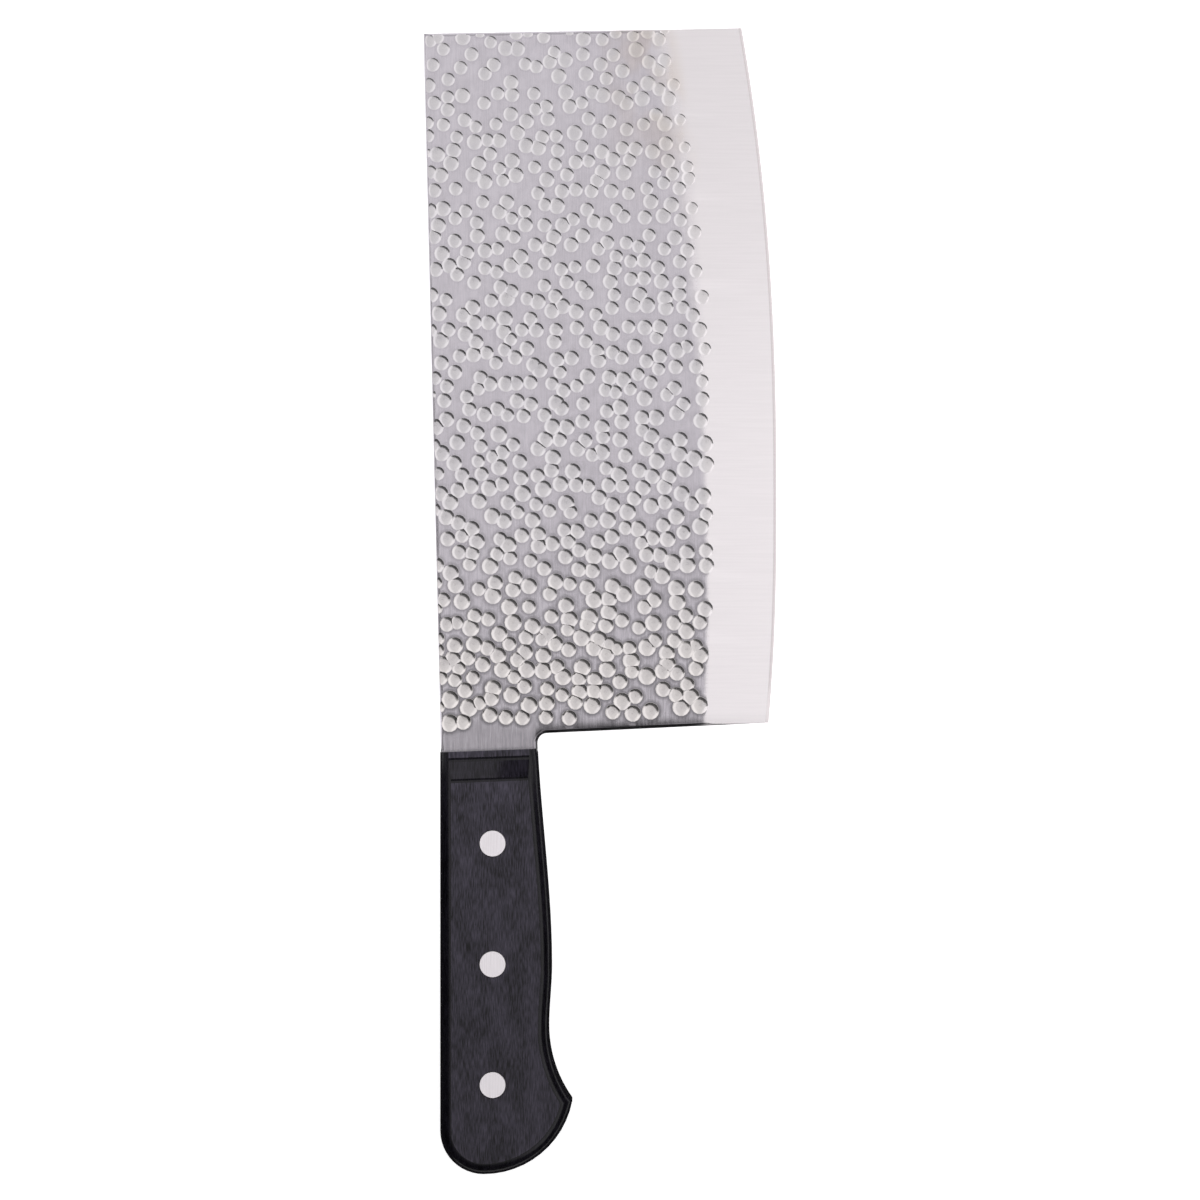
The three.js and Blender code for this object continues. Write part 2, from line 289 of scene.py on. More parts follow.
class Recipe:
    """A Geometry Nodes tree with named inputs, which is run once on an object's mesh."""

    KINDS = {
        float: "NodeSocketFloat",
        int: "NodeSocketInt",
        Vector: "NodeSocketVector",
        Object: "NodeSocketObject",
        Material: "NodeSocketMaterial",
    }
    # What a random value's node draws, its first input and its output, by the type of socket.
    DRAWS = {"VALUE": ("FLOAT", 2, 1), "VECTOR": ("FLOAT_VECTOR", 0, 0)}

    def __init__(self, name: str, inputs: Mapping[str, object]) -> None:
        """Starts a tree that takes one geometry and gives one back.

        Args:
            name: The tree's name.
            inputs: Its named inputs, with what the modifier sets each to.
        """
        self.tree = bpy.data.node_groups.new(name, "GeometryNodeTree")
        for way in ("INPUT", "OUTPUT"):
            self.tree.interface.new_socket("Geometry", in_out=way, socket_type="NodeSocketGeometry")
        self.values: dict[str, object] = {}
        for title, value in inputs.items():
            kind = next(kind for held, kind in self.KINDS.items() if isinstance(value, held))
            item = self.tree.interface.new_socket(title, in_out="INPUT", socket_type=kind)
            self.values[item.identifier] = value
        self.sheet = NodeSheet(self.tree)
        self.entry = self.sheet.add("NodeGroupInput")

    def __getitem__(self, name: str) -> NodeSocket:
        """Gives the socket that the tree reads a named input from."""
        return self.entry.outputs[name]

    def shape(self, name: str) -> NodeSocket:
        """Gives the geometry of the object that a named input holds."""
        return self.sheet.add("GeometryNodeObjectInfo", {"Object": self[name]}).outputs["Geometry"]

    def random(self, low: str, high: str, seed: int) -> NodeSocket:
        """Draws a value at random for each point.

        Args:
            low: The named input that holds the lowest value.
            high: The named input that holds the highest value.
            seed: The seed of the draws.

        Returns:
            The drawn value's socket.
        """
        drawn, first, output = self.DRAWS[self[low].type]
        inputs = {first: self[low], first + 1: self[high], "Seed": seed}
        return self.sheet.add("FunctionNodeRandomValue", inputs, data_type=drawn).outputs[output]

    def carve(self, cutter: NodeSocket) -> NodeSocket:
        """Cuts shapes out of the geometry that the tree takes.

        Args:
            cutter: The shapes' geometry.

        Returns:
            What is left.
        """
        inputs = {"Mesh 1": self["Geometry"], "Mesh 2": cutter}
        cut = self.sheet.add("GeometryNodeMeshBoolean", inputs, operation="DIFFERENCE", solver="MANIFOLD")
        return cut.outputs["Mesh"]

    def end(self, geometry: NodeSocket) -> None:
        """Ends the tree: instances are made real and the finish, one of its inputs, is set.

        Args:
            geometry: The geometry that the tree gives back.
        """
        real = self.sheet.add("GeometryNodeRealizeInstances", {"Geometry": geometry}).outputs["Geometry"]
        dressed = self.sheet.add("GeometryNodeSetMaterial", {"Geometry": real, "Material": self["Finish"]})
        self.sheet.add("NodeGroupOutput", {"Geometry": dressed.outputs["Geometry"]})

    def run(self, piece: Object) -> None:
        """Runs the tree on a piece, whose mesh becomes the plain result.

        Args:
            piece: The piece.
        """
        modifier = piece.modifiers.new(self.tree.name, "NODES")
        modifier.node_group = self.tree
        for identifier, value in self.values.items():
            modifier[identifier] = value
        bake_modifiers(piece)


def new_object(name: str, mesh: Mesh) -> Object:
    """Adds an object to the scene, at the origin.

    Args:
        name: The object's name.
        mesh: Its mesh.

    Returns:
        The object.
    """
    made = bpy.data.objects.new(name, mesh)
    bpy.context.scene.collection.objects.link(made)
    return made


def new_mesh(name: str, corners: Sequence[Sequence[float]], faces: Sequence[Sequence[int]]) -> Mesh:
    """Makes a mesh from corners and the faces between them.

    Args:
        name: The mesh's name.
        corners: The corners' places, in metres.
        faces: The corners of each face, counter-clockwise from outside.

    Returns:
        The mesh.
    """
    mesh = bpy.data.meshes.new(name)
    mesh.from_pydata(corners, [], faces)
    mesh.validate()
    return mesh


def settle(name: str, body: BMesh) -> Object:
    """Turns an edit mesh into an object, and frees it.

    Args:
        name: The object's name.
        body: The edit mesh.

    Returns:
        The object.
    """
    mesh = bpy.data.meshes.new(name)
    body.to_mesh(mesh)
    body.free()
    return new_object(name, mesh)


def read_all(
    items: bpy.types.bpy_prop_collection, name: str, width: int = 1, kind: type = float
) -> np.ndarray:
    """Reads a property of every vertex, corner or face of a mesh.

    Args:
        items: The mesh's vertices, corners or faces.
        name: The property's name.
        width: How many numbers it has.
        kind: What the numbers are.

    Returns:
        A number for each item, or a row of them.
    """
    values = np.empty(len(items) * width, kind)
    items.foreach_get(name, values)
    return values.reshape(-1, width) if width > 1 else values


def set_corners(mesh: Mesh, name: str, values: Sequence[float]) -> None:
    """Gives every face corner of a mesh a number that materials can read."""
    mesh.attributes.new(name, "FLOAT", "CORNER").data.foreach_set("value", values)


def bake_modifiers(piece: Object) -> None:
    """Turns what a piece's modifiers give into its own plain mesh, and removes them.

    Args:
        piece: The piece.
    """
    before = piece.data
    evaluated = piece.evaluated_get(bpy.context.evaluated_depsgraph_get())
    piece.data = bpy.data.meshes.new_from_object(evaluated)
    piece.modifiers.clear()
    bpy.data.meshes.remove(before)


def discard(*helpers: Object) -> None:
    """Removes helper objects and their meshes."""
    for helper in helpers:
        bpy.data.meshes.remove(helper.data)


def merged_copy(node: str, name: str) -> Object:
    """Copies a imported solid, with its loose triangles joined where their corners meet.

    Args:
        node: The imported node's name.
        name: The new object's name.

    Returns:
        The copy.
    """
    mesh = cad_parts[node].data.copy()
    mesh.materials.clear()
    if mesh.has_custom_normals:
        mesh.attributes.remove(mesh.attributes["custom_normal"])
    body = bmesh.new()
    body.from_mesh(mesh)
    bmesh.ops.remove_doubles(body, verts=body.verts, dist=WELD)
    body.to_mesh(mesh)
    body.free()
    return new_object(name, mesh)


def turned(name: str, profile: Sequence[Pair], sides: int) -> Object:
    """Turns a profile about the z axis into a closed shape.

    Args:
        name: The object's name.
        profile: Radius and height of each corner, from the axis at the foot to the axis on top.
        sides: How many sides the round has.

    Returns:
        The turned object.
    """
    body = bmesh.new()
    line = [body.verts.new((radius, 0.0, height)) for radius, height in profile]
    edges = [body.edges.new(pair) for pair in zip(line, line[1:])]
    bmesh.ops.spin(body, geom=line + edges, axis=(0, 0, 1), cent=(0, 0, 0), angle=2 * math.pi, steps=sides)
    bmesh.ops.remove_doubles(body, verts=body.verts, dist=WELD)
    bmesh.ops.recalc_face_normals(body, faces=body.faces)
    return settle(name, body)


@dataclass(frozen=True)
class Finish:
    """A surface finish, which makes its own material."""

    name: str

    def material(self) -> Material:
        """Makes the material.

        Returns:
            The finished material.
        """
        material = bpy.data.materials.new(self.name)
        material.use_nodes = True
        self.paint(MaterialSheet(material.node_tree))
        return material

    def paint(self, sheet: MaterialSheet) -> None:
        """Feeds the shader on a material's sheet."""
        raise NotImplementedError


@dataclass(frozen=True)
class Peening:
    """How steel looks where the hammer burnished it."""

    colour: Colour = (0.58, 0.563, 0.578)
    dull_colour: Colour = (0.54, 0.524, 0.545)
    ground_colour: Colour = (0.68, 0.655, 0.665)
    roughness: float = 0.22
    blotches: Size = (2.6 * MM, 2.6 * MM, 2.6 * MM)
    dish_fade: Pair = (0.93, 0.99)
    ring_fade: Pair = (0.1, 1.0)
    # painted shade round each mark: its strength at the tip end and at the heel
    painted_halo: Pair = (0.94, 0.44)
    heel_painted_light: Colour = (1.08, 1.065, 1.02)

    def shades(self, sheet: MaterialSheet, near_heel: Feed) -> NodeSocket:
        """Gives a colour that is a little uneven from mark to mark, with painted light that makes it warmer
        and brighter towards the heel.

        Args:
            sheet: The material's sheet.
            near_heel: 0 far from the heel and 1 by it.

        Returns:
            The colour's socket.
        """
        uneven = sheet.fade(sheet.noise(self.blotches), *NOISE_SPAN)
        colour = sheet.mix_colours(uneven, self.dull_colour, self.colour)
        # painted light: the marks are coloured brighter and warmer towards the heel
        return sheet.tint(colour, sheet.mix_colours(near_heel, WHITE, self.heel_painted_light))

    def dish(self, sheet: MaterialSheet) -> NodeSocket:
        """Gives 1 in a mark's dish and 0 outside it."""
        return sheet.fade(sheet.attribute(PEENED), *self.dish_fade)

    def ring(self, sheet: MaterialSheet, near_heel: Feed) -> NodeSocket:
        """Gives the painted shade of the dark ring round a mark, darker towards the heel."""
        share = sheet.fade(sheet.attribute(PEENED), *self.ring_fade)
        return sheet.mix_numbers(share, 1.0, sheet.mix_numbers(near_heel, *self.painted_halo))


@dataclass(frozen=True)
class BladeSpot:
    """Where a point of the blade lies, as sockets that the blade's material reads.

    The row is its y, and past and inside are its way past the bevel's line and in from the edge. Ground
    is 0 on the flats and 1 on the bevel, and worn is 0 far from the heel and 1 by it.
    """

    row: NodeSocket
    past: NodeSocket
    inside: NodeSocket
    ground: NodeSocket
    near_heel: NodeSocket


@dataclass(frozen=True)
class BladeSteel(Finish):
    """Satin steel: brushed along the blade on the flats, ground across it on the bevel, and peened."""

    peening: Peening = Peening()
    flat_colour: Colour = (0.53, 0.505, 0.545)
    bevel_colour: Colour = (0.74, 0.71, 0.725)
    honed_colour: Colour = (0.6, 0.565, 0.575)
    flat_roughness: float = 0.2
    bevel_roughness: float = 0.3
    anisotropy: float = 0.3
    flat_lines: Size = (0.22 * MM, 5 * MM, 1.2 * MM)
    flat_shades: Size = (2.4 * MM, 30 * MM, 6 * MM)
    shade_share: float = 0.35
    bevel_lines: Size = (16 * MM, 0.5 * MM, 1.2 * MM)
    flat_blotches: Size = (2.2 * MM, 2.8 * MM, 2.2 * MM)
    blotch_contrast: float = 0.035
    line_contrast: float = 0.05
    neck_contrast: float = 0.14
    neck_approach: Pair = (40 * MM, -30 * MM)
    bevel_contrast: float = 0.015
    line_depth: float = 0.0008 * MM
    grind_fade: Pair = (0.9 * MM, 5 * MM)
    grind_rows: Pair = (20 * MM, 140 * MM)
    honed_width: float = 0.75 * MM
    honed_fade: float = 0.1 * MM
    neck_rows: Pair = (-27 * MM, -33 * MM)
    neck_shade: float = 0.82
    # painted light and shade on the bevel, from the heel end to the tip end
    bevel_painted_light: Pair = (1.07, 0.96)
    # painted shade along the heel's edge, standing in for its rounding turned to the dark side
    heel_reach: float = 3.2 * MM
    heel_shade: float = 0.5
    heel_rim: Pair = (0.3 * MM, 1.1 * MM)
    # painted shade on the rounded rim, which would otherwise mirror the bright floor
    rim_painted_shade: float = 0.75
    rim_rows: Pair = (-24 * MM, -20 * MM)
    # painted reflection and painted shade: a brown tint that dulls the steel near the tip end
    brown_shade: Colour = (0.95, 0.915, 0.86)
    brown_rows: Pair = (88 * MM, 125 * MM)
    brown_reach: Pair = (-22 * MM, -4 * MM)
    brown_end: Pair = (6 * MM, 1 * MM)
    brown_cells: Size = (6 * MM, 9 * MM, 6 * MM)
    brown_span: Pair = (0.35, 0.65)

    def spot(self, sheet: MaterialSheet) -> BladeSpot:
        """Reads where a point lies.

        Args:
            sheet: The material's sheet.

        Returns:
            The point's sockets.
        """
        past, inside, _ = sheet.split(sheet.add("ShaderNodeUVMap", uv_map=GRIND_MAP).outputs["UV"])
        row = sheet.split(sheet.place)[1]
        reach = sheet.fade(row, *self.grind_rows, *self.grind_fade)
        ground = sheet.fade(sheet.maths("DIVIDE", past, reach), -1.0, 1.0)
        return BladeSpot(row, past, inside, ground, sheet.fade(row, *self.neck_approach))

    def lines(self, sheet: MaterialSheet, spot: BladeSpot) -> NodeSocket:
        """Draws the lines of the brushing and the grinding.

        Args:
            sheet: The material's sheet.
            spot: Where a point lies.

        Returns:
            The lines' height, from 0 to 1.
        """
        brushing = sheet.noise(self.flat_lines, FINE)
        brushing = sheet.mix_numbers(self.shade_share, brushing, sheet.noise(self.flat_shades))
        return sheet.mix_numbers(spot.ground, brushing, sheet.noise(self.bevel_lines, FINE))

    def shade(self, sheet: MaterialSheet, spot: BladeSpot, lines: NodeSocket) -> NodeSocket:
        """Shades the lines and blotches, the darker neck, and the painted shade along the heel and on the
        rounded rim.

        Args:
            sheet: The material's sheet.
            spot: Where a point lies.
            lines: The lines' height.

        Returns:
            The shade's socket, about 1.
        """
        contrast = sheet.mix_numbers(spot.near_heel, self.line_contrast, self.neck_contrast)
        contrast = sheet.mix_numbers(spot.ground, contrast, self.bevel_contrast)
        blotch_contrast = sheet.mix_numbers(spot.ground, self.blotch_contrast, 0.0)
        shade = 1.0
        for share, pattern in ((contrast, lines), (blotch_contrast, sheet.noise(self.flat_blotches))):
            change = sheet.product(share, sheet.fade(pattern, *NOISE_SPAN, -1.0, 1.0))
            shade = sheet.maths("ADD", shade, change)
        # painted shade: the flats darken towards the heel's edge, as its rounding would in shade
        above = sheet.attribute(HEEL)
        spans = ((0.0, self.heel_reach), self.heel_rim)
        painted_heel_shade = sheet.product(*(sheet.fade(above, *span, self.heel_shade, 1.0) for span in spans))
        # painted shade: the rounded rim is coloured darker, except by the heel and neck
        rim_painted_shade = sheet.fade(spot.row, *self.rim_rows, 1.0, self.rim_painted_shade)
        return sheet.product(
            shade,
            sheet.mix_numbers(spot.ground, painted_heel_shade, 1.0),
            sheet.mix_numbers(sheet.attribute(RIM), 1.0, rim_painted_shade),
            sheet.fade(spot.row, *self.neck_rows, 1.0, self.neck_shade),
        )

    def brown_shaded(self, sheet: MaterialSheet, spot: BladeSpot) -> NodeSocket:
        """Finds where a painted brown reflection darkens the steel as painted shade: in clouds by the
        bevel's line, near the tip end.

        Args:
            sheet: The material's sheet.
            spot: Where a point lies.

        Returns:
            The share of the painted brown shade.
        """
        return sheet.product(
            sheet.fade(sheet.noise(self.brown_cells, FINE), *self.brown_span),
            sheet.fade(spot.row, *self.brown_rows),
            sheet.fade(spot.past, *self.brown_reach),
            sheet.fade(spot.past, *self.brown_end),
        )

    def colours(
        self, sheet: MaterialSheet, spot: BladeSpot, shade: NodeSocket, peened: NodeSocket
    ) -> NodeSocket:
        """Colours the flats, the bevel, the honed edge and the marks.

        Args:
            sheet: The material's sheet.
            spot: Where a point lies.
            shade: The shade outside the marks.
            peened: 1 in a mark's dish and 0 outside it.

        Returns:
            The colour's socket.
        """
        # painted light and shade: the bevel is coloured lighter towards the heel and darker towards the tip
        painted_bevel_light = sheet.fade(spot.row, *self.grind_rows, *self.bevel_painted_light)
        colour = sheet.mix_colours(spot.ground, self.flat_colour, sheet.tint(self.bevel_colour, painted_bevel_light))
        honed = sheet.fade(spot.inside, self.honed_width + self.honed_fade, self.honed_width)
        colour = sheet.mix_colours(honed, colour, self.honed_colour)
        # painted shade: a dark ring round each mark, where its raised lip would shade the flat
        colour = sheet.tint(sheet.tint(colour, shade), self.peening.ring(sheet, spot.near_heel))
        dishes = self.peening.shades(sheet, spot.near_heel)
        dishes = sheet.mix_colours(spot.ground, dishes, self.peening.ground_colour)
        colour = sheet.mix_colours(peened, colour, dishes)
        # painted reflection and painted shade: brown clouds that darken the steel near the tip end
        return sheet.tint(colour, self.brown_shade, self.brown_shaded(sheet, spot))

    def paint(self, sheet: MaterialSheet) -> None:
        """Feeds the shader.

        Args:
            sheet: The material's sheet.
        """
        spot = self.spot(sheet)
        lines = self.lines(sheet, spot)
        shade = self.shade(sheet, spot, lines)
        peened = self.peening.dish(sheet)
        rough = sheet.mix_numbers(spot.ground, self.flat_roughness, self.bevel_roughness)
        tangent = sheet.add("ShaderNodeTangent", direction_type="UV_MAP", uv_map=BRUSH_MAP)
        sheet.feed(sheet.shader, {
            "Base Color": self.colours(sheet, spot, shade, peened),
            "Roughness": sheet.mix_numbers(peened, sheet.product(rough, shade), self.peening.roughness),
            "Normal": sheet.relief(lines, self.line_depth),
            "Tangent": tangent.outputs["Tangent"],
            "Anisotropic": self.anisotropy,
            "Metallic": 1.0,
        })


@dataclass(frozen=True)
class RivetSteel(Finish):
    """Bright steel brushed along the handle."""

    colour: Colour = (0.85, 0.815, 0.845)
    roughness: float = 0.3
    lines: Size = (0.25 * MM, 9 * MM, 2 * MM)
    line_contrast: float = 0.05
    line_depth: float = 0.0006 * MM

    def paint(self, sheet: MaterialSheet) -> None:
        """Feeds the shader.

        Args:
            sheet: The material's sheet.
        """
        lines = sheet.noise(self.lines, FINE)
        shade = sheet.fade(lines, *NOISE_SPAN, 1.0 - self.line_contrast, 1.0 + self.line_contrast)
        sheet.feed(sheet.shader, {
            "Base Color": sheet.tint(self.colour, shade),
            "Roughness": sheet.product(self.roughness, shade),
            "Normal": sheet.relief(lines, self.line_depth),
            "Metallic": 1.0,
        })


@dataclass(frozen=True)
class LaminatedWood(Finish):
    """Thin veneers soaked black, pressed together and polished, with their grain along the handle."""

    dark: Colour = (0.0015, 0.0013, 0.002)
    light: Colour = (0.088, 0.078, 0.113)
    roughness: float = 0.36
    roughness_ends: Pair = (1.12, 0.92)
    polished_roughness: float = 0.03
    polished_tone: float = 0.42
    # painted shade on the roundings and in the grooves
    buffed_shade_tone: float = 0.18
    gloss: float = 0.26
    fibres: Size = (0.25 * MM, 2.6 * MM, 0.5 * MM)
    fibre_span: Pair = (0.32, 0.72)
    pores: Size = (0.2 * MM, 2.6 * MM, 0.4 * MM)
    pore_span: Pair = (0.66, 0.74)
    clouds: Size = (4.5 * MM, 10 * MM, 3 * MM)
    cloud_share: float = 0.32
    veneers: Size = (90 * MM, 200 * MM, 0.7 * MM)
    veneer_span: Pair = (0.4, 0.6)
    veneer_share: float = 0.1
    fibre_depth: float = 0.006 * MM
    smooth_polish: float = 0.4

    def paint(self, sheet: MaterialSheet) -> None:
        """Feeds the shader.

        Args:
            sheet: The material's sheet.
        """
        tone = sheet.fade(sheet.noise(self.fibres, FINE), *self.fibre_span)
        tone = sheet.mix_numbers(self.cloud_share, tone, sheet.fade(sheet.noise(self.clouds), *NOISE_SPAN))
        veneers = sheet.fade(sheet.noise(self.veneers, 0.0), *self.veneer_span)
        tone = sheet.mix_numbers(self.veneer_share, tone, veneers)
        tone = sheet.mix_numbers(sheet.fade(sheet.noise(self.pores), *self.pore_span), tone, 0.0)
        polish = sheet.attribute(POLISHED)
        rough = sheet.fade(tone, 0.0, 1.0, *(end * self.roughness for end in self.roughness_ends))
        # painted shade: the roundings and the grooves are coloured darker
        buffed_shade = sheet.fade(polish, 0.0, BUFFED_AND_SHADED, 1.0, self.buffed_shade_tone)
        bright = sheet.fade(polish, BUFFED_AND_SHADED, 1.0, 0.0, self.polished_tone - self.buffed_shade_tone)
        tone = sheet.product(tone, sheet.maths("ADD", buffed_shade, bright))
        height = sheet.product(tone, sheet.fade(polish, 0.0, self.smooth_polish, 1.0, 0.0))
        sheet.feed(sheet.shader, {
            "Base Color": sheet.mix_colours(tone, self.dark, self.light),
            "Roughness": sheet.mix_numbers(polish, rough, self.polished_roughness),
            "Specular IOR Level": self.gloss,
            "Normal": sheet.relief(height, self.fibre_depth),
        })


@dataclass(frozen=True)
class PaleFloor(Finish):
    """A white surface that is lit from within, so that shadows on it stay faint."""

    colour: Colour = (0.85, 0.85, 0.85)
    glow: float = 0.85
    roughness: float = 0.7

    def paint(self, sheet: MaterialSheet) -> None:
        """Feeds the shader.

        Args:
            sheet: The material's sheet.
        """
        sheet.feed(sheet.shader, {
            "Base Color": (*self.colour, 1.0),
            "Roughness": self.roughness,
            "Emission Color": (*WHITE, 1.0),
            "Emission Strength": self.glow,
        })


@dataclass(frozen=True)
class SoftboxCloth(Finish):
    """The glowing front of a round softbox: brighter to both sides and ahead, with a soft rim."""

    colour: Colour = (1.0, 0.985, 0.99)
    strength: float = 1.0
    middle: Place = (0.0, 0.3, 1.5)
    radius: float = 2.3
    rim: float = 0.3
    side_span: Pair = (0.15, 0.6)
    side_gain: float = 1.45
    fore_span: Pair = (-0.4, 0.8)
    fore_gain: Pair = (0.98, 1.0)

    def paint(self, sheet: MaterialSheet) -> None:
        """Puts a glow in the shader's place.

        Args:
            sheet: The material's sheet.
        """
        x, y, _ = sheet.split(sheet.place)
        away = sheet.add("ShaderNodeVectorMath", {0: sheet.place, 1: self.middle}, operation="DISTANCE")
        strength = sheet.product(
            sheet.fade(away.outputs["Value"], self.radius, self.radius - self.rim, 0.0, self.strength),
            sheet.fade(sheet.maths("ABSOLUTE", x), *self.side_span, 1.0, self.side_gain),
            sheet.fade(y, *self.fore_span, *self.fore_gain),
        )
        glow = sheet.add("ShaderNodeEmission", {"Color": (*self.colour, 1.0), "Strength": strength})
        output = next(node for node in sheet.tree.nodes if node.type == "OUTPUT_MATERIAL")
        sheet.feed(output, {"Surface": glow.outputs["Emission"]})
        sheet.tree.nodes.remove(sheet.shader)


@dataclass(frozen=True)
class MatBlack(Finish):
    """Dull black, as on the camera's front, the cards and the flag."""

    colour: Colour = (0.02, 0.02, 0.02)

    def paint(self, sheet: MaterialSheet) -> None:
        """Feeds the shader on a material's sheet."""
        sheet.feed(sheet.shader, {"Base Color": (*self.colour, 1.0), "Roughness": 1.0})


@dataclass
class Assembly:
    """What the knife's sub-assemblies share: how their pieces are shaded and put in place."""

    crease_angle: float = math.radians(40)
    level_normal: float = 0.9998

    def is_sharp(self, edge: BMEdge, _: BMLayerAccessLoop) -> bool:
        """Says whether an edge shows as a line."""
        return edge.calc_face_angle(0.0) > self.crease_angle

    def hold(self, face: BMFace, _: BMLayerAccessLoop) -> Hold:
        """Says how strongly a face holds its normals: level ones stay flat where rounded ones meet them."""
        return Hold.STRONG if abs(face.normal.z) > self.level_normal else Hold.MEDIUM

    def shade(self, piece: Object) -> None:
        """Shades a piece smooth between its sharp edges, with its planes kept flat.

        The normals are weighed by area, which needs faces larger than these are in metres.

        Args:
            piece: The piece.
        """
        body = bmesh.new()
        body.from_mesh(piece.data)
        body.transform(Matrix.Scale(1 / MM, 4))
        strength = body.faces.layers.int.new(STRENGTH)
        for face in body.faces:
            face.smooth = True
            face[strength] = self.hold(face, body.loops.layers).value
        for edge in body.edges:
            edge.smooth = len(edge.link_faces) == 2 and not self.is_sharp(edge, body.loops.layers)
        body.to_mesh(piece.data)
        body.free()
        weighting = piece.modifiers.new("flat_planes", "WEIGHTED_NORMAL")
        weighting.keep_sharp = True
        weighting.use_face_influence = True
        bake_modifiers(piece)
        piece.data.transform(Matrix.Scale(MM, 4))
        piece.data.attributes.remove(piece.data.attributes[STRENGTH])

    def place(self, piece: Object, slot: str, *solids: str) -> Object:
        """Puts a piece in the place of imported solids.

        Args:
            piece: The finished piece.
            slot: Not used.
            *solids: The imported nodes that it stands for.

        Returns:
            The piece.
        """
        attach(piece, BODY)
        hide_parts(*solids)
        return piece


@dataclass
class HammeredBlade(Assembly):
    """Blade, neck and tang in one steel, with hammer marks on both flats."""

    solid: str = "blade_and_tang"
    steel: BladeSteel = BladeSteel("brushed_steel")
    mark_diameter: float = 3.5 * MM
    floor_share: float = 0.58
    floor_tilt: float = math.radians(6)
    floor_rings: tuple[float, ...] = (0.5, 1.0)
    wall_tilt: float = math.radians(27)
    least_wall_tilt: float = math.radians(10)
    mark_sides: int = 14
    skirt_width: float = 0.95 * MM
    skirt_tilt: float = math.radians(1.75)
    skirt_spare: float = 0.2
    mark_sizes: Pair = (0.9, 1.12)
    mark_growth: Pair = (1.12, 0.97)
    mark_depths: Pair = (1.25, 0.57)
    mark_gap: float = 3.3 * MM
    mark_crowding: float = 0.6 / MM**2
    mark_stray: float = 0.75 * MM
    heel_crowd: Pair = (26 * MM, 3.5 * MM)
    seed: int = 7
    heel_slope: float = math.radians(2.7)
    heel_margin: float = 3.6 * MM
    heel_falloff: float = 2.0
    spine_overrun: float = 0.3 * MM
    bevel_overrun: Pair = (-0.6 * MM, 2.8 * MM)
    sheet_rows: int = 24
    sheet_gap: float = 20 * MM
    bevel_normal: float = 0.99
    wall_normal: float = 0.5
    edge_reach: float = 0.1 * MM
    rim_start: float = 0.5 * MM
    ridge_angle: float = math.radians(7)
    bevel_line: np.ndarray = field(init=False)
    edge_line: np.ndarray = field(init=False)
    tip_corner: Vector = field(init=False)
    heel_start: float = field(init=False)

    def zone(self, face: BMFace, peened: BMLayerItem | None = None) -> Zone:
        """Says how a face of the blade was worked.

        Args:
            face: The face.
            peened: The layer that tells hammer marks from the rest, once they are cut.

        Returns:
            The zone, from that layer and the face's tilt.
        """
        if peened and any(loop[peened] > 0.0 for loop in face.loops):
            return Zone.MARK
        if abs(face.normal.z) > self.level_normal:
            return Zone.FLAT
        return Zone.BEVEL if abs(face.normal.z) > self.bevel_normal else Zone.ROUND

    @staticmethod
    def line_through(places: Iterable[Vector]) -> np.ndarray:
        """Gives a line along the blade through points of it: a row of y and a row of x."""
        return np.array(sorted((place.y, place.x) for place in places)).T

    def read_lines(self, piece: Object) -> None:
        """Reads the bevel's line, the cutting edge, the tip's corner and the heel off the plain blade.

        Args:
            piece: The plain blade.
        """
        body = bmesh.new()
        body.from_mesh(piece.data)
        low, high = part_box(self.solid)
        middle = (low.z + high.z) / 2
        bevel, edge = [], []
        for vert in body.verts:
            if {Zone.FLAT, Zone.BEVEL} <= {self.zone(face) for face in vert.link_faces}:
                bevel.append(vert.co)
            if abs(vert.co.z - middle) < self.edge_reach:
                edge.append(vert.co)
        self.bevel_line, self.edge_line = self.line_through(bevel), self.line_through(edge)
        self.tip_corner = min((vert.co for vert in body.verts), key=lambda place: place.x).copy()
        places = np.array([vert.co for vert in body.verts])
        heel = np.abs(places[:, 1] - self.heel_row(places[:, 0])) < self.edge_reach
        self.heel_start = places[heel, 0].min()
        body.free()

    def heel_row(self, x: np.ndarray) -> np.ndarray:
        """Gives the heel's slanted line, as y at each x."""
        return self.edge_line[0][0] - (self.edge_line[1][0] - x) * math.tan(self.heel_slope)

    def mark_sheets(self) -> Object:
        """Makes the helper sheets that the hammer marks are scattered on, one for each flat.

        Returns:
            The helper: the upper sheet faces up. The lower one faces down and hangs under its flat, so
            that marks on the two flats don't keep each other away.
        """
        low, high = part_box(self.solid)
        scale_low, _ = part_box("upper_scale")
        lift = self.heel_margin - self.heel_crowd[1]
        front_start = self.heel_row(self.bevel_line[1][0]) + lift
        corners, faces = [], []
        for height in (high.z, low.z - self.sheet_gap):
            first = len(corners)
            for row in range(self.sheet_rows + 1):
                along = row / self.sheet_rows
                back_x = np.interp(along, (0, 1), (scale_low.x, self.tip_corner.x)) - self.spine_overrun
                back_y = np.interp(along, (0, 1), (self.heel_row(back_x) + lift, self.tip_corner.y))
                front_y = np.interp(along, (0, 1), (front_start, high.y))
                front_x = np.interp(front_y, *self.bevel_line) + np.interp(along, (0, 1), self.bevel_overrun)
                corners += [(back_x, back_y, height), (front_x, front_y, height)]
            for back in range(first, first + 2 * self.sheet_rows, 2):
                up = (back, back + 1, back + 3, back + 2)
                faces.append(up if height > low.z else up[::-1])
        return new_object("mark_sheets", new_mesh("mark_sheets", corners, faces))

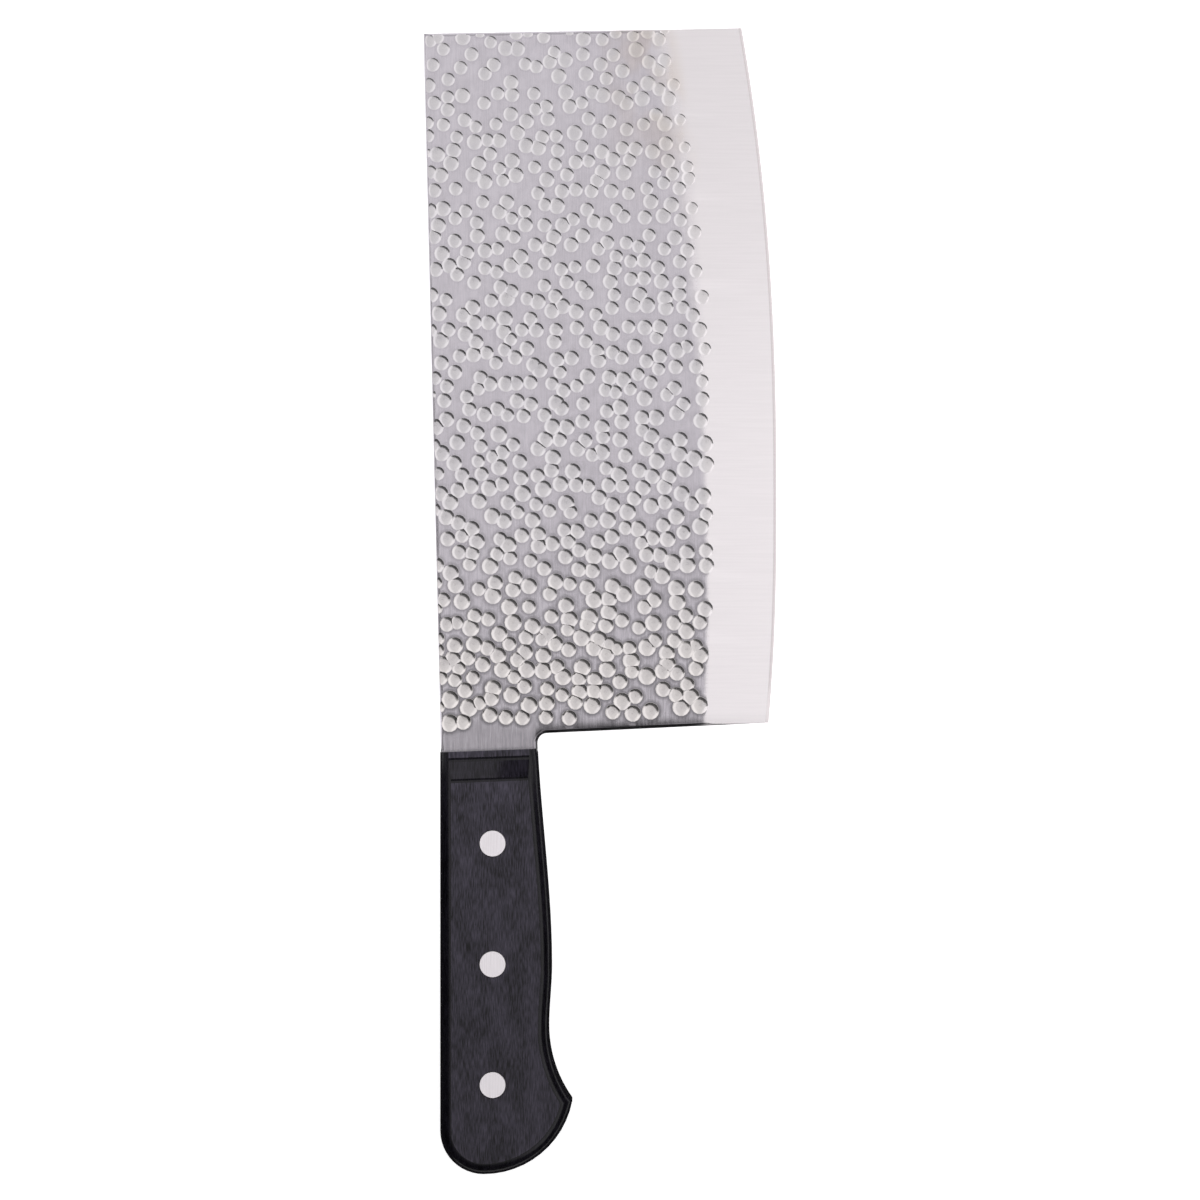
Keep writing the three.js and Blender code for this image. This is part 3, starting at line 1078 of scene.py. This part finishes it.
    def hammer(self) -> Object:
        """Makes the round hammer face that cuts one mark: a dished floor, a wall and a sunken skirt.

        Returns:
            The helper, with the flat's level at z 0 and the share of peening at each corner.
        """
        radius = self.mark_diameter / 2
        floor = self.floor_share * radius
        ball = floor / math.sin(self.floor_tilt)
        rise = math.tan(self.skirt_tilt)
        rim_z = -self.skirt_width * rise
        floor_z = rim_z - (radius - floor) * math.tan(self.wall_tilt)
        foot_z = floor_z - ball * (1 - math.cos(self.floor_tilt))
        arcs = [share * self.floor_tilt for share in self.floor_rings]
        dish = [(ball * math.sin(arc), foot_z + ball * (1 - math.cos(arc))) for arc in arcs]
        reach = radius + (1 + self.skirt_spare) * self.skirt_width
        end_z = self.skirt_spare * self.skirt_width * rise
        profile = [(0.0, foot_z), *dish, (radius, rim_z), (reach, end_z), (0.0, end_z)]
        hammer = turned("hammer", profile, self.mark_sides)
        mesh = hammer.data
        spread = [math.hypot(*mesh.vertices[loop.vertex_index].co.xy) for loop in mesh.loops]
        set_corners(mesh, PEENED, np.interp(spread, (radius, reach), (1.0, 0.0)))
        return hammer

    def scatter(self, recipe: Recipe) -> Node:
        """Scatters the marks' middles on the helper sheets.

        Args:
            recipe: The marks' recipe.

        Returns:
            The node that gives the points and how each is turned.
        """
        inputs = {
            "Mesh": recipe.shape("Sheets"),
            "Distance Min": recipe["Closest Marks"],
            "Density Max": recipe["Crowding"],
            "Seed": recipe["Seed"],
        }
        return recipe.sheet.add("GeometryNodeDistributePointsOnFaces", inputs, distribute_method="POISSON")

    def aim(self, recipe: Recipe, points: NodeSocket) -> NodeSocket:
        """Moves the scattered points to where the marks go.

        Lower ones go up to their flat, those by the heel closer to each other, and each a little astray.

        Args:
            recipe: The marks' recipe.
            points: The scattered points.

        Returns:
            The moved points.
        """
        sheet = recipe.sheet
        _, row, level = sheet.split(sheet.add("GeometryNodeInputPosition").outputs[0])
        reach, crowd = self.heel_crowd
        heel = self.edge_line[0][0] + self.heel_margin
        drawn_up = sheet.fade(row, heel - crowd, heel + reach, recipe["Heel Crowding"], 0.0, Ramp.EVEN)
        under = sheet.maths("LESS_THAN", level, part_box(self.solid)[0].z - self.sheet_gap / 2)
        lifted = sheet.product(under, recipe["Sheet Gap"])
        shift = sheet.add("ShaderNodeCombineXYZ", {"Y": drawn_up, "Z": lifted}).outputs["Vector"]
        for offset in (shift, recipe.random("Stray From", "Stray To", self.seed)):
            moved = sheet.add("GeometryNodeSetPosition", {"Geometry": points, "Offset": offset})
            points = moved.outputs["Geometry"]
        return points

    def graded(self, recipe: Recipe, measure: str) -> NodeSocket:
        """Grades a measure of the marks evenly from the heel to the tip end.

        Args:
            recipe: The marks' recipe, whose inputs hold the values at both ends.
            measure: What is graded.

        Returns:
            The graded measure's socket.
        """
        sheet = recipe.sheet
        row = sheet.split(sheet.add("GeometryNodeInputPosition").outputs[0])[1]
        heel, tip = self.edge_line[0][0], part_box(self.solid)[1].y
        return sheet.fade(row, heel, tip, recipe[f"Heel {measure}"], recipe[f"Tip {measure}"], Ramp.EVEN)

    def sizes(self, recipe: Recipe) -> NodeSocket:
        """Sizes the marks: uneven in width, and graded along the blade.

        Args:
            recipe: The marks' recipe.

        Returns:
            The socket of each mark's size along X, Y and Z.
        """
        uneven = recipe.random("Smallest", "Largest", self.seed)
        width = recipe.sheet.product(uneven, self.graded(recipe, "Growth"))
        axes = {"X": width, "Y": width, "Z": self.graded(recipe, "Depth")}
        return recipe.sheet.add("ShaderNodeCombineXYZ", axes).outputs["Vector"]

    def strike(self, piece: Object, finish: Material) -> None:
        """Cuts the hammer marks into the blade.

        Args:
            piece: The plain blade.
            finish: The blade's material.
        """
        sheets, hammer = self.mark_sheets(), self.hammer()
        stray = Vector((self.mark_stray, self.mark_stray, 0.0))
        pairs = {
            ("Stray From", "Stray To"): (-stray, stray),
            ("Smallest", "Largest"): self.mark_sizes,
            ("Heel Growth", "Tip Growth"): self.mark_growth,
            ("Heel Depth", "Tip Depth"): self.mark_depths,
        }
        recipe = Recipe("hammer_marks", {
            "Sheets": sheets,
            "Hammer": hammer,
            "Closest Marks": self.mark_gap,
            "Crowding": self.mark_crowding,
            "Heel Crowding": self.heel_crowd[1],
            "Sheet Gap": self.sheet_gap,
            "Seed": self.seed,
            **{name: value for names, values in pairs.items() for name, value in zip(names, values)},
            "Finish": finish,
        })
        scattered = self.scatter(recipe)
        struck = recipe.sheet.add("GeometryNodeInstanceOnPoints", {
            "Points": self.aim(recipe, scattered.outputs["Points"]),
            "Rotation": scattered.outputs["Rotation"],
            "Instance": recipe.shape("Hammer"),
            "Scale": self.sizes(recipe),
        })
        recipe.end(recipe.carve(struck.outputs["Instances"]))
        recipe.run(piece)
        discard(sheets, hammer)

    def map_grinding(self, piece: Object) -> None:
        """Gives the blade what its steel reads.

        One map tells how far each point is past the bevel's line and from the edge, and another which
        way the brushing runs. Two attributes tell how far it is above the heel, and the rounded rim.

        Args:
            piece: The blade with its marks.
        """
        mesh = piece.data
        x, y, z = read_all(mesh.vertices, "co", 3)[read_all(mesh.loops, "vertex_index", kind=int)].T
        counts = read_all(mesh.polygons, "loop_total", kind=int)
        nx, ny, nz = np.abs(np.repeat(read_all(mesh.polygons, "normal", 3), counts, axis=0).T)
        past = x - np.interp(y, *self.bevel_line)
        inside = np.interp(y, *self.edge_line) - x
        wall = nz < self.wall_normal
        ground = (past > 0) & ~wall
        across = np.where(wall, z, np.where(ground, y, x))
        along = np.where(wall, np.where(nx > ny, y, x), np.where(ground, -x, y))
        for name, values in ((GRIND_MAP, (past, inside)), (BRUSH_MAP, (across, along))):
            mesh.uv_layers.new(name=name).uv.foreach_set("vector", np.stack(values, 1).ravel())
        unmarked = read_all(mesh.attributes[PEENED].data, "value") == 0
        rim = (nz < self.bevel_normal) & unmarked & (inside > self.rim_start)
        beyond = np.maximum(self.heel_start - x, 0.0)
        above = np.maximum(y - self.heel_row(x), 0.0) + self.heel_falloff * beyond
        # these two attributes mask the painted shade along the heel and on the rounded rim
        for name, values in ((HEEL, above), (RIM, rim.astype(float))):
            set_corners(mesh, name, values)

    def is_sharp(self, edge: BMEdge, layers: BMLayerAccessLoop) -> bool:
        """Says whether an edge shows as a line: the marks' ridges and the bevel's bounds do.

        Args:
            edge: The edge.
            layers: The layers of the blade's corners.

        Returns:
            Whether it is sharp.
        """
        zones = {self.zone(face, layers.float.get(PEENED)) for face in edge.link_faces}
        if zones in ({Zone.FLAT, Zone.BEVEL}, {Zone.BEVEL, Zone.ROUND}):
            return True
        if Zone.MARK in zones:
            return edge.calc_face_angle_signed(0.0) > self.ridge_angle
        return super().is_sharp(edge, layers)

    def hold(self, face: BMFace, layers: BMLayerAccessLoop) -> Hold:
        """Says how strongly a face holds its normals: flats and bevels most, the marks' walls least.

        Args:
            face: The face.
            layers: The layers of the blade's corners.

        Returns:
            How strongly.
        """
        zone = self.zone(face, layers.float.get(PEENED))
        if zone in (Zone.FLAT, Zone.BEVEL):
            return Hold.STRONG
        steep = abs(face.normal.z) < math.cos(self.least_wall_tilt)
        return Hold.WEAK if zone is Zone.MARK and steep else Hold.MEDIUM

    def build(self) -> Object:
        """Makes the blade.

        Returns:
            The finished piece.
        """
        piece = merged_copy(self.solid, "hammered_blade")
        self.read_lines(piece)
        self.strike(piece, self.steel.material())
        self.shade(piece)
        self.map_grinding(piece)
        return piece

    def dress(self) -> list[Object]:
        """Builds the blade and puts it in the solid's place."""
        return [self.place(self.build(), "blade_steel", self.solid)]


@dataclass
class HandleScales(Assembly):
    """The two wooden halves of the handle."""

    solids: tuple[str, ...] = ("upper_scale", "lower_scale")
    wood: LaminatedWood = LaminatedWood("black_laminated_wood")
    level_normal: float = 0.9999
    ramp_normal: float = 0.999
    groove_width: float = 1.0 * MM
    groove_depth: float = 0.11 * MM
    groove_clear: float = 0.05 * MM

    def build(self, solid: str, finish: Material) -> Object:
        """Makes one scale.

        Args:
            solid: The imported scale's name.
            finish: The wood's material.

        Returns:
            The finished piece.
        """
        piece = merged_copy(solid, f"{solid}_wood")
        self.scribe(piece, finish)
        self.shade(piece)
        self.polish(piece)
        return piece

    def ramp_ends(self, piece: Object) -> list[tuple[Vector, Vector]]:
        """Finds the two lines that bound the slight ramp behind the front lip.

        Args:
            piece: The plain scale.

        Returns:
            Both ends of each line.
        """
        body = bmesh.new()
        body.from_mesh(piece.data)
        lines: dict[int, list[Vector]] = {}
        for edge in body.edges:
            tilts = sorted(abs(face.normal.z) for face in edge.link_faces)
            if self.ramp_normal < tilts[0] < self.level_normal < tilts[1]:
                for vert in edge.verts:
                    lines.setdefault(round(vert.co.z / self.groove_clear), []).append(vert.co.copy())
        body.free()
        along = [sorted(line, key=lambda place: place.x) for line in lines.values()]
        return [(line[0], line[-1]) for line in along]

    def groover(self, piece: Object) -> Object:
        """Makes the helper that cuts a wedge along both ends of the ramp.

        Args:
            piece: The plain scale.

        Returns:
            The helper, which marks what it cuts as buffed, so that the wood paints shade in the grooves.
        """
        heights = [corner[2] for corner in piece.bound_box]
        middle = (min(heights) + max(heights)) / 2
        body = bmesh.new()
        marks = body.loops.layers.float.new(POLISHED)
        for start, end in self.ramp_ends(piece):
            out = Vector((0.0, 0.0, math.copysign(1.0, start.z - middle)))
            aside = (end - start).cross(out).normalized()
            aside *= self.groove_width / 2 * (1 + self.groove_clear / self.groove_depth)
            clear = out * self.groove_clear
            section = (aside + clear, -aside + clear, -out * self.groove_depth)
            first, last = ([body.verts.new(place + step) for step in section] for place in (start, end))
            body.faces.new(first)
            body.faces.new(last)
            for index in range(len(section)):
                body.faces.new((first[index - 1], first[index], last[index], last[index - 1]))
        bmesh.ops.recalc_face_normals(body, faces=body.faces)
        for face in body.faces:
            for loop in face.loops:
                loop[marks] = BUFFED_AND_SHADED
        return settle("groover", body)

    def scribe(self, piece: Object, finish: Material) -> None:
        """Cuts the fine grooves at both ends of the ramp.

        Args:
            piece: The plain scale.
            finish: The wood's material.
        """
        groover = self.groover(piece)
        recipe = Recipe("scribed_lines", {"Groover": groover, "Finish": finish})
        recipe.end(recipe.carve(recipe.shape("Groover")))
        recipe.run(piece)
        discard(groover)

    def is_sharp(self, edge: BMEdge, layers: BMLayerAccessLoop) -> bool:
        """Says whether an edge shows as a line: those of the grooves do.

        Args:
            edge: The edge.
            layers: The layers of the scale's corners.

        Returns:
            Whether it is sharp.
        """
        marks = layers.float.get(POLISHED)
        if any(loop[marks] > 0.0 for face in edge.link_faces for loop in face.loops):
            return True
        return super().is_sharp(edge, layers)

    def polish(self, piece: Object) -> None:
        """Marks the buffed roundings, which the wood darkens as painted shade, and the ramp behind the front
        lip, which is polished bright.

        Args:
            piece: The scale with its grooves.
        """
        marks = piece.data.attributes[POLISHED].data
        for face in piece.data.polygons:
            level = abs(face.normal.z)
            if level < self.level_normal:
                for index in face.loop_indices:
                    marks[index].value = 1.0 if level > self.ramp_normal else BUFFED_AND_SHADED

    def dress(self) -> list[Object]:
        """Builds both scales in one finish and puts them in their solids' places."""
        finish = self.wood.material()
        return [self.place(self.build(solid, finish), "black_wood", solid) for solid in self.solids]


@dataclass
class Rivets(Assembly):
    """Three two-piece rivets: solid pins from above, pressed into tubular sockets from below."""

    names: tuple[str, ...] = ("front", "middle", "rear")
    steel: RivetSteel = RivetSteel("rivet_steel")
    sides: int = 48
    head_depth: float = 2.5 * MM
    rim_ease: float = 0.12 * MM
    pin_diameter: float = 3.1 * MM
    pin_lead: float = 0.4 * MM
    tube_diameter: float = 5.0 * MM
    bore_diameter: float = 3.2 * MM
    floor: float = 4.5 * MM

    def solids(self, half: Half) -> list[str]:
        """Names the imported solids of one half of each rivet."""
        return [f"{name}_rivet_{half.value}" for name in self.names]

    def pin_profile(self, low: Vector, high: Vector) -> list[Pair]:
        """Gives a pin's profile about its own axis, from its end up to its head.

        Args:
            low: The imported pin's lowest corner.
            high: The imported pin's highest corner.

        Returns:
            Radius and height of each corner.
        """
        head, shank = (high.x - low.x) / 2, self.pin_diameter / 2
        seat = high.z - self.head_depth
        return [
            (0.0, low.z),
            (shank - self.pin_lead, low.z),
            (shank, low.z + self.pin_lead),
            (shank, seat),
            (head, seat),
            (head, high.z - self.rim_ease),
            (head - self.rim_ease, high.z),
            (0.0, high.z),
        ]

    def socket_profile(self, low: Vector, high: Vector) -> list[Pair]:
        """Gives a socket's profile about its own axis, from its head up its tube and down its bore.

        Args:
            low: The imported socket's lowest corner.
            high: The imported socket's highest corner.

        Returns:
            Radius and height of each corner.
        """
        head, tube, bore = (high.x - low.x) / 2, self.tube_diameter / 2, self.bore_diameter / 2
        seat = low.z + self.head_depth
        return [
            (0.0, low.z),
            (head - self.rim_ease, low.z),
            (head, low.z + self.rim_ease),
            (head, seat),
            (tube, seat),
            (tube, high.z),
            (bore, high.z),
            (bore, low.z + self.floor),
            (0.0, low.z + self.floor),
        ]

    def build(self, half: Half, finish: Material) -> Object:
        """Makes one half of each rivet.

        Args:
            half: Which half.
            finish: The rivets' material.

        Returns:
            One piece that holds all the copies.
        """
        boxes = [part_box(solid) for solid in self.solids(half)]
        first, second, *_ = [(low + high) / 2 for low, high in boxes]
        profile = {Half.PIN: self.pin_profile, Half.SOCKET: self.socket_profile}[half](*boxes[0])
        name = f"rivet_{half.value}"
        model = turned(name, profile, self.sides)
        recipe = Recipe(f"{name}_row", {
            "Half": model,
            "Count": len(boxes),
            "First": Vector((first.x, first.y, 0.0)),
            "Step": second - first,
            "Finish": finish,
        })
        line = {"Count": recipe["Count"], "Start Location": recipe["First"], "Offset": recipe["Step"]}
        row = recipe.sheet.add("GeometryNodeMeshLine", line).outputs["Mesh"]
        copies = {"Points": row, "Instance": recipe.shape("Half")}
        recipe.end(recipe.sheet.add("GeometryNodeInstanceOnPoints", copies).outputs["Instances"])
        piece = new_object(f"{name}s", bpy.data.meshes.new(f"{name}s"))
        recipe.run(piece)
        discard(model)
        self.shade(piece)
        return piece

    def dress(self) -> list[Object]:
        """Builds pins and sockets in one finish and puts them in their solids' places."""
        finish = self.steel.material()
        return [self.place(self.build(half, finish), "rivet_steel", *self.solids(half)) for half in Half]


@dataclass
class Studio:
    """White floor, one large softbox overhead and a camera that looks straight down."""

    lens: float = 200.0
    sensor: float = 36.0
    sight: float = 20.0
    picture_width: float = 293.5 * MM
    floor_size: float = 12.0
    floor_drop: float = 0.02 * MM
    disc_sides: int = 64
    front_radius: float = 0.054
    front_place: Place = (0.004, -0.034, 1.46)
    flag_colour: Colour = (0.06, 0.06, 0.06)
    flag_radius: float = 1.9
    flag_place: Place = (-1.33, -1.84, 1.47)
    flag_reach: float = 3.0
    card_gap: float = 0.035
    card_foot: float = 0.022
    card_top: float = 0.08
    ground_gap: float = 0.09
    card_end: float = -0.042
    ground_end: float = -0.037
    heel_card: Pair = (-0.004, -0.03)
    room_dark: float = 0.08
    room_light: float = 0.68
    room_rise: Pair = (-0.3, 0.3)

    def panel(self, name: str, corners: Sequence[Sequence[float]], finish: Material) -> Object:
        """Makes a flat panel that isn't part of the knife.

        Args:
            name: The object's name.
            corners: Its four corners in turn.
            finish: Its material.

        Returns:
            The panel.
        """
        made = new_object(name, new_mesh(name, corners, [(0, 1, 2, 3)]))
        made.data.materials.append(finish)
        return made

    def rectangle(
        self, name: str, low: Sequence[float], high: Sequence[float], level: float, finish: Material
    ) -> Object:
        """Makes a level rectangle that isn't part of the knife.

        Args:
            name: The object's name.
            low: Its corner with the lowest x and y.
            high: Its corner with the highest x and y.
            level: Its height.
            finish: Its material.

        Returns:
            The rectangle.
        """
        (left, front), (right, back) = low, high
        outline = ((left, front), (right, front), (right, back), (left, back))
        return self.panel(name, [(*corner, level) for corner in outline], finish)

    def hide(self, black: Object) -> None:
        """Keeps a black disc or card out of the camera's sight."""
        for way in ("camera", "transmission", "volume_scatter"):
            setattr(black, f"visible_{way}", False)

    def disc(self, name: str, radius: float, place: Sequence[float], finish: Material) -> Object:
        """Hangs up a dark disc that the camera itself doesn't see.

        Args:
            name: The disc's name.
            radius: Its radius.
            place: Its middle.
            finish: Its material.

        Returns:
            The disc.
        """
        disc = turned(name, [(0.0, 0.0), (radius, 0.0)], self.disc_sides)
        disc.location = place
        disc.data.materials.append(finish)
        self.hide(disc)
        return disc

    def flag(self) -> None:
        """Hangs up the dark flag, with its far side cut straight so that the low room stays in sight."""
        cloth = MatBlack("flag_cloth", self.flag_colour).material()
        disc = self.disc("flag", self.flag_radius, self.flag_place, cloth)
        middle = Vector(self.flag_place[:2])
        away = middle.normalized()
        for vert in disc.data.vertices:
            spare = (middle + vert.co.xy).dot(away) - self.flag_reach
            vert.co.xy -= max(spare, 0.0) * away

    def cards(self, black: Material) -> None:
        """Hangs black cards round the handle and lays two on the floor by it, to darken its roundings.

        Args:
            black: The cards' material.
        """
        low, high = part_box("upper_scale")
        left, right, start = low.x - self.card_gap, high.x + self.card_gap, low.y - self.card_gap
        hung = {
            "spine_card": ((left, start), (left, self.card_end), 0.0),
            "edge_card": ((right, start), (right, self.card_end), self.card_foot),
            "butt_card": ((left, start), (right, start), self.card_foot),
        }
        for name, (first, last, foot) in hung.items():
            corners = [(*first, foot), (*last, foot), (*last, self.card_top), (*first, self.card_top)]
            self.hide(self.panel(name, corners, black))
        far_left, far_right = low.x - self.ground_gap, high.x + self.ground_gap
        heel_x, heel_y = self.heel_card
        laid = {
            "handle_card": ((far_left, low.y - self.ground_gap), (far_right, self.ground_end)),
            "heel_card": ((heel_x, self.ground_end), (far_right, heel_y)),
        }
        for name, (near, far) in laid.items():
            card = self.rectangle(name, near, far, CAD_BOX[0].z - self.floor_drop / 2, black)
            self.hide(card)
            card.visible_shadow = False
            card.visible_diffuse = False

    def camera(self) -> None:
        """Places the camera straight above the knife, with the tip end at the top of the picture."""
        low, high = CAD_BOX
        blade_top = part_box("blade_and_tang")[1].z
        data = bpy.data.cameras.new("camera")
        data.lens = self.lens
        data.sensor_width = self.sensor
        data.clip_end = self.sight
        camera = bpy.data.objects.new("camera", data)
        distance = self.picture_width * self.lens / self.sensor
        camera.location = ((low.x + high.x) / 2, (low.y + high.y) / 2, blade_top + distance)
        bpy.context.scene.collection.objects.link(camera)
        bpy.context.scene.camera = camera

    def lights(self) -> None:
        """Hangs the softbox over all, and under it the camera's front, which glossy steel mirrors."""
        cloth = SoftboxCloth("softbox_cloth")
        low, high = ([axis + sign * cloth.radius for axis in cloth.middle[:2]] for sign in (-1, 1))
        softbox = self.rectangle("softbox", low, high, cloth.middle[2], cloth.material())
        softbox.visible_camera = False
        black = MatBlack("mirrored_black").material()
        self.disc("camera_front", self.front_radius, self.front_place, black)
        self.flag()
        self.cards(black)

    def room(self) -> None:
        """Sets what lies beyond the lights: white to the eye, and to reflections dim, but less so above."""
        world = bpy.data.worlds.new("room")
        world.use_nodes = True
        world.node_tree.nodes.clear()
        bpy.context.scene.world = world
        sheet = NodeSheet(world.node_tree)
        height = sheet.split(sheet.add("ShaderNodeTexCoord").outputs["Generated"])[2]
        strength = sheet.fade(height, *self.room_rise, self.room_dark, self.room_light)
        dim = sheet.add("ShaderNodeBackground", {"Color": (*WHITE, 1.0), "Strength": strength})
        white = sheet.add("ShaderNodeBackground", {"Color": (*WHITE, 1.0)})
        eye = sheet.add("ShaderNodeLightPath").outputs["Is Camera Ray"]
        seen = sheet.add("ShaderNodeMixShader", {0: eye, 1: dim.outputs[0], 2: white.outputs[0]})
        sheet.add("ShaderNodeOutputWorld", {"Surface": seen.outputs[0]})

    def set_up(self) -> None:
        """Builds the studio."""
        half = self.floor_size / 2
        level = CAD_BOX[0].z - self.floor_drop
        self.rectangle("floor", (-half, -half), (half, half), level, PaleFloor("pale_floor").material())
        self.camera()
        self.lights()
        self.room()
        bpy.context.scene.view_settings.view_transform = "Standard"


def report(piece: Object) -> None:
    """Logs a finished piece's name and how many triangles it has."""
    triangles = sum(len(face.vertices) - 2 for face in piece.data.polygons)
    LOG.info("%s: %d triangles", piece.name, triangles)


def main() -> None:
    """Builds the knife and its studio."""
    logging.basicConfig(level=logging.INFO, format="%(name)s: %(message)s")
    Studio().set_up()
    for assembly in (HammeredBlade(), HandleScales(), Rivets()):
        for piece in assembly.dress():
            report(piece)


if __name__ == "__main__":
    main()
